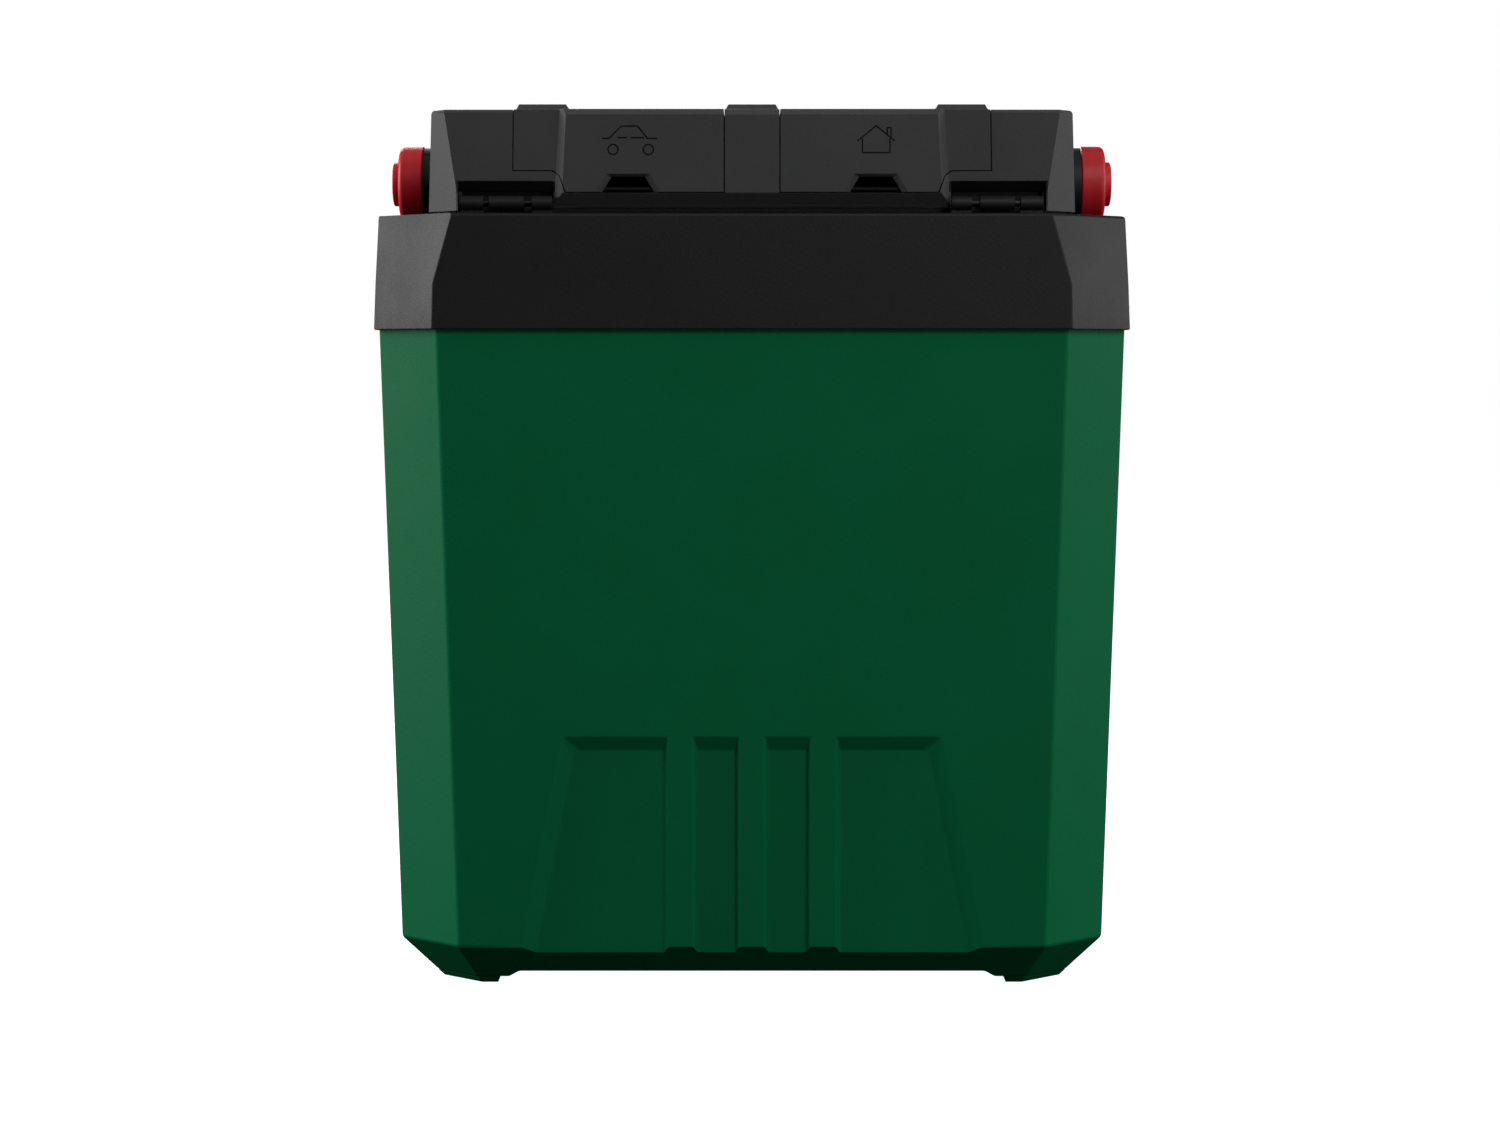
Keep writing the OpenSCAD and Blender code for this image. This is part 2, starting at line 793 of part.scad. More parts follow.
module door_body() {
    difference() {
        union() {
            intersection() {
                lid_skin();
                door_blank();
            }
            intersection() {
                for (b = door_barrels)
                    x_rod(b[0], b[1], door_axis_y, door_axis_z, door_barrel_r);
                block([0, 90, 440], [130, 110, lid_top_z - 0.4]);
            }
            for (b = door_barrels)
                block([b[0], door_axis_y, door_axis_z - 1], [b[1], door_axis_y + 3, lid_top_z - 1]);
        }
        door_notch();
        x_rod(19, 119, door_axis_y, door_axis_z, door_pin_r + 0.06);
        for (l = door_lugs)
            block([l[0] - 0.4, 90, 440], [l[1] + 0.4, door_axis_y + door_barrel_r + 0.6, lid_top_z + 1]);
    }
}

module cord_door_left() {
    color(black)
    mirror([1, 0, 0]) difference() {
        door_body();
        translate([0, block_y + 1, 0]) rotate([90, 0, 0]) linear_extrude(1.4) house_icon();
    }
}

module cord_door_right() {
    color(black)
    difference() {
        door_body();
        translate([0, block_y + 1, 0]) rotate([90, 0, 0]) linear_extrude(1.4) car_icon();
    }
}

module door_hinge_pins() {
    color(metal)
    both_sides()
        x_rod(20.2, 117.8, door_axis_y, door_axis_z, door_pin_r);
}

// ---------------------------------------------------------------- cooling unit

inner_fan_z = plug_z + 2;
cold_z = 396.5;
peltier_z = 413.6;
heat_z = 418;
outer_fan_z = 437;

module heat_sink() {
    color(metal)
    translate([0, unit_y, heat_z]) {
        block([-65, -50, 0], [65, 50, 4.5]);
        for (i = [0:20])
            block([-65 + i * 6.44, -50, 4], [-65 + i * 6.44 + 1.2, 50, 16]);
    }
}

module peltier_module() {
    color("#e9e6dc")
    block([-20, unit_y - 20, peltier_z + 0.2], [20, unit_y + 20, heat_z - 0.1]);
}

module cold_sink() {
    color(metal)
    translate([0, unit_y, cold_z]) {
        block([-42, -42, 11], [42, 42, 16.7]);
        for (i = [0:13])
            block([-42 + i * 6.36, -42, 0], [-42 + i * 6.36 + 1.3, 42, 11.5]);
    }
}

module fan_pillars() {
    color(metal)
    for (x = [-36, 36])
        for (y = [-36, 36])
            z_rod(x, unit_y + y, heat_z + 16.1, outer_fan_z - 0.05, 3);
}

// Square fan frame with a motor post on four arms, measured up from its lower face
module fan_frame(half, r, h, post_r) {
    difference() {
        union() {
            linear_extrude(h) difference() {
                rounded_rect(half, half, 4);
                circle(r);
            }
            cylinder(h = 2, r = 12);
            for (a = [45:90:315])
                rotate(a) translate([8, -1.5, 0]) cube([r - 7, 3, 2]);
            cylinder(h = h - 3, r = post_r);
        }
        for (a = [45:90:315])
            rotate(a) translate([(half - 5) * 1.414, 0, -1]) cylinder(h = h + 2, r = 2);
    }
}

module fan_rotor(r, z0, z1, bore_r) {
    chord = 8;
    thick = 1.8;
    difference() {
        union() {
            z_rod(0, 0, z0, z1, 12.5);
            for (i = [0:fan_blades - 1])
                rotate(i * 360 / fan_blades)
                    x_prism([
                        [-chord, z0 + 0.4], [thick - chord, z0 + 0.4], [chord, z1 - 0.4], [chord - thick, z1 - 0.4]
                    ], 9, sqrt(r * r - chord * chord));
        }
        z_rod(0, 0, z0 - 1, z1 - 1.6, bore_r);
    }
}

module outer_fan_frame() {
    color("#1a1a1a")
    translate([0, unit_y, outer_fan_z]) fan_frame(46, outer_fan_r + 2, 15, 4);
}

module outer_fan_rotor() {
    color("#333537")
    translate([0, unit_y, outer_fan_z]) fan_rotor(outer_fan_r, 2.8, 14.6, 4.06);
}

module inner_fan_frame() {
    color("#1a1a1a")
    translate([0, unit_y, inner_fan_z]) fan_frame(39, inner_fan_r + 2, 11.5, 4);
}

module inner_fan_rotor() {
    color("#333537")
    translate([0, unit_y, inner_fan_z]) fan_rotor(inner_fan_r, 2.8, 11.2, 4.06);
}

module inner_fan_guard() {
    color("#c4c8ca")
    translate([0, unit_y, plug_z - 2.4])
        difference() {
            union() {
                for (r = [44, 34.4, 25.6, 16.8])
                    linear_extrude(2.2) difference() {
                        circle(r);
                        circle(r == 44 ? 37.6 : r - 3.4);
                    }
                cylinder(h = 2.2, r = 9);
                for (a = [0:45:315])
                    rotate(a) translate([6, -1.4, 0]) cube([34, 2.8, 2.2]);
            }
            for (a = [45:90:315])
                rotate(a) z_rod(41, 0, -1, 4, 1.2);
        }
}

module control_board() {
    y = (panel[2] + panel[3]) / 2;
    color("#1f6b3a")
    block([-38, y - 16, lid_top_z - 16], [38, y + 16, lid_top_z - 14.4]);
    color("#222222")
    block([-9, y - 6, lid_top_z - 14.4], [9, y + 6, lid_top_z - 6.4]);
    color("#b9bcc0")
    for (x = light_x)
        z_rod(x, y, lid_top_z - 14.4, lid_top_z - 8, 1.6);
    color("#2a2a2a")
    for (x = [-24, 18])
        block([x, y + 8, lid_top_z - 14.4], [x + 9, y + 15, lid_top_z - 9]);
}

module power_supply() {
    color("#2c2d2e")
    block([-148, -70, lid_z + 4], [-100, 60, lid_z + 36]);
    color("#bdbdbd")
    for (y = [-60:12:48])
        block([-140, y, lid_z + 36], [-108, y + 5, lid_z + 37.2]);
}

// ---------------------------------------------------------------- handle

module arm_plan() {
    polygon([
        [177.8, 30], [184.2, 30], [184.2, -118.5], [155, -146.9], [148, -146.9], [148, -124.6],
        [159.5, -124.6], [177.8, -106.5]
    ]);
}

module arm_side() {
    translate([0, pivot_z]) circle(20.3);
    polygon([
        [0, pivot_z + 20.3], [-40, pivot_z + 13.4], [-150, pivot_z + 13.4],
        [-150, pivot_z - 13.4], [-40, pivot_z - 13.4], [0, pivot_z - 20.3]
    ]);
}

module handle_arm() {
    difference() {
        intersection() {
            translate([0, 0, 400]) linear_extrude(80) arm_plan();
            translate([140, 0, 0]) rotate([90, 0, 90]) linear_extrude(60) arm_side();
        }
        x_rod(170, 190, 0, pivot_z, 6.05);
        x_rod(140, 158, -bar_y, pivot_z, 8.05);
    }
}

module handle_arm_left() {
    color(black) mirror([1, 0, 0]) handle_arm();
}

module handle_arm_right() {
    color(black) handle_arm();
}

module bar_section(grow_by) {
    translate([-bar_y, pivot_z]) rounded_rect(11.2 + grow_by, 13.4 + grow_by, 6 + grow_by);
}

module handle_bar() {
    color(black)
    difference() {
        union() {
            for (s = [-148, 72])
                translate([s, 0, 0]) rotate([90, 0, 90]) linear_extrude(76) bar_section(0);
            translate([-80, 0, 0]) rotate([90, 0, 90]) linear_extrude(160) bar_section(-2);
            x_rod(-157.5, 157.5, -bar_y, pivot_z, 8);
        }
        both_sides() x_rod(146, 160, -bar_y, pivot_z, 2);
    }
}

module handle_grip() {
    color("#191919")
    difference() {
        translate([-71.8, 0, 0]) rotate([90, 0, 90]) linear_extrude(143.6) bar_section(0.9);
        translate([-75, 0, 0]) rotate([90, 0, 90]) linear_extrude(150) bar_section(-1.9);
    }
}

module handle_screws() {
    color(metal)
    both_sides()
        difference() {
            x_rod(147, 157.9, -bar_y, pivot_z, 1.95);
            x_rod(157.3, 158, -bar_y, pivot_z, 1);
        }
}

module pivot_cap() {
    color(red)
    translate([184.4, 0, pivot_z]) rotate([0, 90, 0])
        difference() {
            rotate_extrude()
                polygon(concat(
                    [[0, 0], [21.1, 0], [21.1, 10.5]],
                    [for (a = [15:15:90]) [18.1 + 3 * cos(a), 10.5 + 3 * sin(a)]],
                    [[13, 13.5], [12.35, 14.2], [12.35, 16.6], [11.55, 17.4], [0, 17.4]]
                ));
            translate([0, 0, -1]) cylinder(h = 8.2, r = 6.05);
        }
}

module pivot_cap_left() {
    mirror([1, 0, 0]) pivot_cap();
}

module pivot_cap_right() {
    pivot_cap();
}

outer_shell();
foot_pads();
foam_insulation();
inner_liner();
top_collar();
collar_insulation();
collar_screws();
hinge_pins();
pivot_pins();
lid_housing();
lid_hinge_left();
lid_hinge_right();
door_hinge_strips();
lid_inner_panel();
lid_insulation();
lid_seal();
lid_screws();
vent_grille_left();
vent_grille_right();
control_panel();
indicator_lights();
mode_switch();
cord_bay_left();
cord_bay_right();
cord_gland_left();
cord_gland_right();
cord_door_left();
cord_door_right();
door_hinge_pins();
heat_sink();
peltier_module();
cold_sink();
fan_pillars();
outer_fan_frame();
outer_fan_rotor();
inner_fan_frame();
inner_fan_rotor();
inner_fan_guard();
control_board();
power_supply();
handle_arm_left();
handle_arm_right();
handle_bar();
handle_grip();
handle_screws();
pivot_cap_left();
pivot_cap_right();
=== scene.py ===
"""Looks of an electric cool box.

It has a green tapered body, a black collar and a black lid that holds the cooling unit.
"""

import logging
import math
from dataclasses import dataclass
from enum import Enum
from typing import Callable, Optional, Sequence

import bmesh
import bpy
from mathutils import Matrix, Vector
from mathutils.geometry import intersect_point_line


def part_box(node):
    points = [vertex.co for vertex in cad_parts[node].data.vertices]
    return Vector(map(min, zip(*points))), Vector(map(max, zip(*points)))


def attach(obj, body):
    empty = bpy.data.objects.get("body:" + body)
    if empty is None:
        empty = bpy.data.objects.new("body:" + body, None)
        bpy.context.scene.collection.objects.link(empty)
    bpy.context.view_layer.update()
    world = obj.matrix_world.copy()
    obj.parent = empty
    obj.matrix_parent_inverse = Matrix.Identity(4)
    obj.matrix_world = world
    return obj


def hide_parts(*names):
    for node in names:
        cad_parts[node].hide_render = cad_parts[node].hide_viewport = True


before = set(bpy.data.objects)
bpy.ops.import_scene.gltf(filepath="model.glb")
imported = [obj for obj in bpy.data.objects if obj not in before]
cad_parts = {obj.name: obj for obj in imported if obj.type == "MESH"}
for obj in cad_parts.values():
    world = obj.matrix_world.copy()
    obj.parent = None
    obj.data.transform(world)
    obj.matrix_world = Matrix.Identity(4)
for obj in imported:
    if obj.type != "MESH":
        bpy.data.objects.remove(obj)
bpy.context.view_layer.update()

MM = 0.001
LOG = logging.getLogger("cool_box")
Colour = tuple[float, float, float]
Point = tuple[float, float, float]
Socket = bpy.types.NodeSocket
EdgeTest = Callable[[bmesh.types.BMEdge], bool]
FaceTest = Callable[[bmesh.types.BMFace], bool]

# An edge that turns by more degrees than this is rounded
SHARP_TURN = 24.0
# Room that a rounding needs, in radii: across a face, between two rounded edges, beside an edge
# that stays sharp, and at a corner with such an edge
FACE_ROOM = 2.1
PAIR_ROOM = 2.2
SIDE_ROOM = 1.2
CORNER_ROOM = 1.1
# Two edges at a corner run on as one if the sine of the turn between them is below this
RUN_ON = 0.35
# Corners of the CAD's mesh closer than this are merged, and faces that turn by less are joined
MERGE = 0.06 * MM
FLAT_TURN = math.radians(0.4)
# Shading breaks at an edge that turns by more than this, and sooner between two large faces
BREAK_TURN = math.radians(38)
FACET_TURN = math.radians(3)
FACET_AREA = 600 * MM * MM
SHADING_WEIGHT = 60


class Body(Enum):
    """Moving bodies of the cool box."""

    BOX = "box"
    LID = "lid"
    HANDLE = "handle"
    DOOR_LEFT = "door_left"
    DOOR_RIGHT = "door_right"
    OUTER_FAN = "outer_fan"
    INNER_FAN = "inner_fan"
    SWITCH = "switch_knob"


# ---------------------------------------------------------------- finishes


class Wiring:
    """Nodes of one material around a Principled shader."""

    def __init__(self, name: str) -> None:
        """Starts a material with an empty shader."""
        self.material = bpy.data.materials.new(name)
        self.material.use_nodes = True
        self.tree = self.material.node_tree
        self.shader = self.tree.nodes["Principled BSDF"]
        self.place = self.tree.nodes.new("ShaderNodeTexCoord").outputs["Object"]

    def node(self, kind: str, **settings: object) -> bpy.types.Node:
        """Adds a node.

        Args:
            kind: Blender's node type, without its ShaderNode prefix.
            settings: Values for the node's own properties.

        Returns:
            The new node.
        """
        made = self.tree.nodes.new("ShaderNode" + kind)
        for key, value in settings.items():
            setattr(made, key, value)
        return made

    def link(self, source: Socket, target: Socket) -> None:
        """Joins an output to an input."""
        self.tree.links.new(source, target)

    def noise(
        self, size: float, detail: float = 2.0, rough: float = 0.5, stretch: Point = (1, 1, 1)
    ) -> Socket:
        """Adds a noise pattern on the object's own coordinates.

        Args:
            size: Size of one blotch in metres.
            detail: Number of finer layers.
            rough: Weight of the finer layers.
            stretch: Scale of the coordinates along each axis.

        Returns:
            The pattern's value, about 0.5 on average.
        """
        place = self.place
        if tuple(stretch) != (1, 1, 1):
            mapping = self.node("Mapping")
            mapping.inputs["Scale"].default_value = stretch
            self.link(place, mapping.inputs["Vector"])
            place = mapping.outputs["Vector"]
        made = self.node("TexNoise")
        made.inputs["Scale"].default_value = 1 / size
        made.inputs["Detail"].default_value = detail
        made.inputs["Roughness"].default_value = rough
        self.link(place, made.inputs["Vector"])
        return made.outputs["Fac"]

    def cells(self, size: float) -> Socket:
        """Adds a cell pattern and returns its distance value."""
        made = self.node("TexVoronoi", feature="F1")
        made.inputs["Scale"].default_value = 1 / size
        self.link(self.place, made.inputs["Vector"])
        return made.outputs["Distance"]

    def spread(
        self, source: Socket, low: float, high: float, start: float = 0.3, stop: float = 0.7
    ) -> Socket:
        """Maps a pattern's range from start to stop to the range low to high."""
        made = self.node("MapRange")
        ends = {"From Min": start, "From Max": stop, "To Min": low, "To Max": high}
        for key, value in ends.items():
            made.inputs[key].default_value = value
        self.link(source, made.inputs["Value"])
        return made.outputs["Result"]

    def sum(self, first: Socket, second: Socket, share: float) -> Socket:
        """Adds a share of the second pattern to the first."""
        made = self.node("Math", operation="MULTIPLY_ADD")
        made.inputs[1].default_value = share
        self.link(second, made.inputs[0])
        self.link(first, made.inputs[2])
        return made.outputs[0]

    def blend_colours(self, factor: Socket, first: Colour, second: Colour) -> Socket:
        """Blends two colours by a pattern."""
        made = self.node("Mix", data_type="RGBA")
        made.inputs[6].default_value = (*first, 1)
        made.inputs[7].default_value = (*second, 1)
        self.link(factor, made.inputs[0])
        return made.outputs[2]

    def tint(self, factor: Socket, colour: Colour, low: float, high: float) -> None:
        """Varies the base colour by a pattern, between two multiples of a colour."""
        mixed = self.blend_colours(factor, toned(colour, low), toned(colour, high))
        self.link(mixed, self.shader.inputs["Base Color"])

    def roughen(self, value: Socket) -> None:
        """Sets the roughness by a pattern."""
        self.link(value, self.shader.inputs["Roughness"])

    def bump(self, height: Socket, distance: float) -> None:
        """Raises the surface by a height pattern."""
        made = self.node("Bump")
        made.inputs["Strength"].default_value = 1.0
        made.inputs["Distance"].default_value = distance
        self.link(height, made.inputs["Height"])
        self.link(made.outputs["Normal"], self.shader.inputs["Normal"])

    def set(self, **values: object) -> None:
        """Sets the shader's own sockets, with underscores for spaces."""
        for key, value in values.items():
            self.shader.inputs[key.replace("_", " ")].default_value = value


def toned(colour: Colour, factor: float) -> Colour:
    """Returns a colour made lighter or darker."""
    return tuple(min(1.0, c * factor) for c in colour)


@dataclass(frozen=True)
class MouldedPlastic:
    """Injection-moulded plastic with a spark-eroded grain.

    Attributes:
        name: Name of the finish.
        colour: Colour of the plastic.
        roughness: Middle roughness of the surface.
        grain: Size of the grain in metres.
        relief: Depth of the grain in metres.
        gloss: Specular level.
        mottle: Share by which the colour varies.
    """

    name: str
    colour: Colour
    roughness: float = 0.55
    grain: float = 0.9 * MM
    relief: float = 0.05 * MM
    gloss: float = 0.5
    mottle: float = 0.12

    def material(self) -> bpy.types.Material:
        """Returns the material of this finish."""
        w = Wiring(self.name)
        fine = w.noise(self.grain, 3, 0.6)
        pits = w.cells(self.grain * 1.7)
        broad = w.noise(70 * MM, 3, 0.55)
        speck = w.sum(broad, fine, 0.55)
        w.tint(w.spread(speck, 0, 1, 0.5, 1.05), self.colour, 1 - self.mottle, 1 + self.mottle)
        w.roughen(w.spread(speck, self.roughness - 0.07, self.roughness + 0.07, 0.45, 1.1))
        w.set(Specular_IOR_Level=self.gloss)
        w.bump(w.sum(fine, pits, -0.6), self.relief)
        return w.material


@dataclass(frozen=True)
class SatinPlastic:
    """Smooth satin plastic with faint flow marks.

    Attributes:
        name: Name of the finish.
        colour: Colour of the plastic.
        roughness: Middle roughness of the surface.
        coat: Weight of the polished skin.
        gloss: Specular level.
    """

    name: str
    colour: Colour
    roughness: float = 0.34
    coat: float = 0.15
    gloss: float = 0.5

    def material(self) -> bpy.types.Material:
        """Returns the material of this finish."""
        w = Wiring(self.name)
        flow = w.noise(14 * MM, 3, 0.6)
        dust = w.noise(0.7 * MM, 2, 0.5)
        w.tint(w.spread(flow, 0, 1), self.colour, 0.97, 1.03)
        marks = w.sum(flow, dust, 0.5)
        w.roughen(w.spread(marks, self.roughness - 0.06, self.roughness + 0.08, 0.5, 1.0))
        w.set(Coat_Weight=self.coat, Coat_Roughness=0.25, Specular_IOR_Level=self.gloss)
        w.bump(dust, 0.02 * MM)
        return w.material


@dataclass(frozen=True)
class Foam:
    """Closed-cell foam.

    Attributes:
        name: Name of the finish.
        colour: Colour of the foam.
        bead: Size of one cell in metres.
    """

    name: str
    colour: Colour
    bead: float = 3.0 * MM

    def material(self) -> bpy.types.Material:
        """Returns the material of this finish."""
        w = Wiring(self.name)
        beads = w.cells(self.bead)
        w.tint(w.spread(beads, 0, 1, 0.1, 0.7), self.colour, 1.05, 0.82)
        w.roughen(w.spread(w.noise(8 * MM), 0.8, 0.95))
        w.set(Specular_IOR_Level=0.25)
        w.bump(w.spread(beads, 1, 0, 0.1, 0.7), 0.5 * MM)
        return w.material


@dataclass(frozen=True)
class Rubber:
    """Matt moulded rubber.

    Attributes:
        name: Name of the finish.
        colour: Colour of the rubber.
        roughness: Middle roughness of the surface.
    """

    name: str
    colour: Colour
    roughness: float = 0.78

    def material(self) -> bpy.types.Material:
        """Returns the material of this finish."""
        w = Wiring(self.name)
        bloom = w.noise(18 * MM, 4, 0.6)
        fine = w.noise(0.5 * MM, 2, 0.6)
        w.tint(w.spread(bloom, 0, 1), self.colour, 0.85, 1.25)
        w.roughen(w.spread(bloom, self.roughness - 0.08, self.roughness + 0.1))
        w.set(Specular_IOR_Level=0.35)
        w.bump(fine, 0.06 * MM)
        return w.material


@dataclass(frozen=True)
class Metal:
    """Drawn or rolled metal with fine marks along one direction.

    Attributes:
        name: Name of the finish.
        colour: Colour of the metal.
        roughness: Middle roughness of the surface.
        stretch: Scale of the marks along each axis.
    """

    name: str
    colour: Colour
    roughness: float = 0.35
    stretch: Point = (0.06, 1.0, 1.0)

    def material(self) -> bpy.types.Material:
        """Returns the material of this finish."""
        w = Wiring(self.name)
        marks = w.noise(0.5 * MM, 3, 0.6, self.stretch)
        stains = w.noise(12 * MM, 3, 0.6)
        w.tint(w.spread(stains, 0, 1), self.colour, 0.82, 1.06)
        wear = w.sum(stains, marks, 0.7)
        w.roughen(w.spread(wear, self.roughness - 0.08, self.roughness + 0.12, 0.6, 1.1))
        w.set(Metallic=1.0)
        w.bump(marks, 0.02 * MM)
        return w.material


@dataclass(frozen=True)
class BoardLacquer:
    """Green circuit board with copper tracks under its lacquer.

    Attributes:
        name: Name of the finish.
        colour: Colour of the lacquer.
        track: Distance between two tracks in metres.
    """

    name: str
    colour: Colour
    track: float = 2.6 * MM

    def material(self) -> bpy.types.Material:
        """Returns the material of this finish."""
        w = Wiring(self.name)
        tracks = w.node("TexBrick")
        tones = {"Color1": (1, 1, 1, 1), "Color2": (0.8, 0.8, 0.8, 1), "Mortar": (0, 0, 0, 1)}
        for key, value in tones.items():
            tracks.inputs[key].default_value = value
        tracks.inputs["Scale"].default_value = 1 / (4 * self.track)
        tracks.inputs["Mortar Size"].default_value = 0.03
        w.link(w.place, tracks.inputs["Vector"])
        w.tint(tracks.outputs["Color"], self.colour, 2.0, 1.0)
        w.roughen(w.spread(w.noise(3 * MM), 0.28, 0.42))
        w.bump(tracks.outputs["Color"], 0.05 * MM)
        return w.material


@dataclass(frozen=True)
class Lens:
    """Tinted lens of an indicator light, split in two colours by its place along X.

    Attributes:
        name: Name of the finish.
        left: Colour on the left.
        right: Colour on the right.
    """

    name: str
    left: Colour
    right: Colour

    def material(self) -> bpy.types.Material:
        """Returns the material of this finish."""
        w = Wiring(self.name)
        split = w.node("SeparateXYZ")
        w.link(w.place, split.inputs["Vector"])
        side = w.spread(split.outputs["X"], 0, 1, -MM, MM)
        w.link(w.blend_colours(side, self.left, self.right), w.shader.inputs["Base Color"])
        w.roughen(w.spread(w.noise(1.2 * MM), 0.12, 0.2))
        w.set(Coat_Weight=0.6, Coat_Roughness=0.05)
        w.bump(w.cells(1.1 * MM), 0.05 * MM)
        return w.material


FINISHES = {
    "green_shell": MouldedPlastic(
        "green_plastic", (0.0004, 0.102, 0.0365), roughness=0.6, gloss=0.06, mottle=0.05
    ),
    "collar": MouldedPlastic(
        "collar_plastic", (0.0045, 0.0045, 0.0046),
        roughness=0.56, grain=0.8 * MM, gloss=0.22, mottle=0.16,
    ),
    "lid": MouldedPlastic(
        "lid_plastic", (0.039, 0.0392, 0.0396),
        roughness=0.56, grain=0.8 * MM, gloss=0.17,
    ),
    "dark_trim": MouldedPlastic(
        "trim_plastic", (0.014, 0.0142, 0.0145),
        roughness=0.62, grain=0.7 * MM, relief=0.04 * MM, gloss=0.4, mottle=0.16,
    ),
    # Near-black plastic used as painted shade inside the cord bays and on the floors of the doors'
    # engraved marks
    "bay_painted_shade": MouldedPlastic(
        "bay_shade_plastic", (0.004, 0.004, 0.0041),
        roughness=0.62, grain=0.7 * MM, relief=0.04 * MM, gloss=0.12, mottle=0.16,
    ),
    "switch_grey": MouldedPlastic(
        "switch_plastic", (0.05, 0.052, 0.055),
        roughness=0.45, grain=0.5 * MM, relief=0.03 * MM, mottle=0.08,
    ),
    "red_cap": SatinPlastic("red_plastic", (0.4, 0.008, 0.014), roughness=0.44, coat=0.0, gloss=0.25),
    "liner_grey": SatinPlastic("liner_plastic", (0.62, 0.64, 0.65), roughness=0.42, coat=0.05),
    "ceramic": SatinPlastic("ceramic", (0.82, 0.8, 0.74), roughness=0.55, coat=0.0),
    "fan_plastic": SatinPlastic("fan_plastic", (0.018, 0.0185, 0.019), roughness=0.42, coat=0.05),
    "guard_grey": SatinPlastic("guard_plastic", (0.5, 0.52, 0.53), roughness=0.45, coat=0.03),
    "foam": Foam("foam_yellow", (0.80, 0.68, 0.42), bead=1.6 * MM),
    "white_foam": Foam("foam_white", (0.86, 0.86, 0.84), bead=3.4 * MM),
    "seal_rubber": Rubber("seal_rubber", (0.028, 0.028, 0.029), roughness=0.74),
    "grip_rubber": Rubber("grip_rubber", (0.013, 0.013, 0.0135), roughness=0.8),
    "steel": Metal("bright_steel", (0.62, 0.62, 0.61), roughness=0.3),
    # Steel darkened to near black so that the gaps between the hinge knuckles read dark: painted
    # shade
    "shade_dark_steel": Metal("painted_shade_steel", (0.022, 0.022, 0.023), roughness=0.45),
    "heat_aluminium": Metal(
        "rolled_aluminium", (0.78, 0.79, 0.8), roughness=0.36, stretch=(1, 0.06, 1)
    ),
    "board_green": BoardLacquer("board_lacquer", (0.012, 0.09, 0.03)),
    "lamp": Lens("lamp_lens", (0.02, 0.42, 0.07), (0.5, 0.02, 0.015)),
}


class Paintbox:
    """Makes each finish's material once."""

    def __init__(self) -> None:
        """Starts with no material made."""
        self.made: dict[str, bpy.types.Material] = {}

    def get(self, finish: str) -> bpy.types.Material:
        """Returns the material of a named finish."""
        if finish not in self.made:
            self.made[finish] = FINISHES[finish].material()
        return self.made[finish]


PAINT = Paintbox()


# ---------------------------------------------------------------- shaping


def apart(edge: bmesh.types.BMEdge, other: bmesh.types.BMEdge, reach: float) -> float:
    """Returns the distance between two edges, or the reach if they are farther apart than that."""
    ends, others = [v.co for v in edge.verts], [v.co for v in other.verts]
    middle = (ends[0] + ends[1]) / 2
    middle_other = (others[0] + others[1]) / 2
    if (middle - middle_other).length > (edge.calc_length() + other.calc_length()) / 2 + reach:
        return reach
    nearest = reach
    for points, line in (((*ends, middle), others), ((*others, middle_other), ends)):
        for point in points:
            share = intersect_point_line(point, *line)[1]
            foot = line[0].lerp(line[1], min(1.0, max(0.0, share)))
            nearest = min(nearest, (point - foot).length)
    return nearest


def crowded(
    edge: bmesh.types.BMEdge, kept: set[bmesh.types.BMEdge], radius: float
) -> Optional[bmesh.types.BMEdge]:
    """Looks for a neighbour that leaves no room to round an edge.

    Args:
        edge: The edge to be rounded.
        kept: All the edges to be rounded.
        radius: Offset of the rounding in metres.

    Returns:
        The edge that has to stay sharp, or None.
    """
    start = edge.verts[0].co
    along = (edge.verts[1].co - start).normalized()
    for face in edge.link_faces:
        if max((v.co - start).cross(along).length for v in face.verts) < FACE_ROOM * radius:
            return edge
        for other in face.edges:
            if other is edge or set(other.verts) & set(edge.verts):
                continue
            need = (PAIR_ROOM if other in kept else SIDE_ROOM) * radius
            if apart(edge, other, need) < need:
                shorter = other in kept and other.calc_length() < edge.calc_length()
                return other if shorter else edge
    for vert in edge.verts:
        for near in vert.link_edges:
            arm = near.other_vert(vert).co - vert.co
            turn = arm.normalized().cross(along).length
            if near is edge or turn < RUN_ON:
                continue
            if near in kept and arm.length * turn < PAIR_ROOM * radius:
                return near if arm.length < edge.calc_length() else edge
            if near not in kept and arm.length * turn < CORNER_ROOM * radius:
                return edge
    return None


def with_room(edges: Sequence[bmesh.types.BMEdge], radius: float) -> list[bmesh.types.BMEdge]:
    """Returns the edges that can be rounded without running into each other."""
    kept = set(edges)
    while True:
        sharp = {crowded(edge, kept, radius) for edge in kept} - {None}
        if not sharp:
            return [edge for edge in edges if edge in kept]
        kept -= sharp


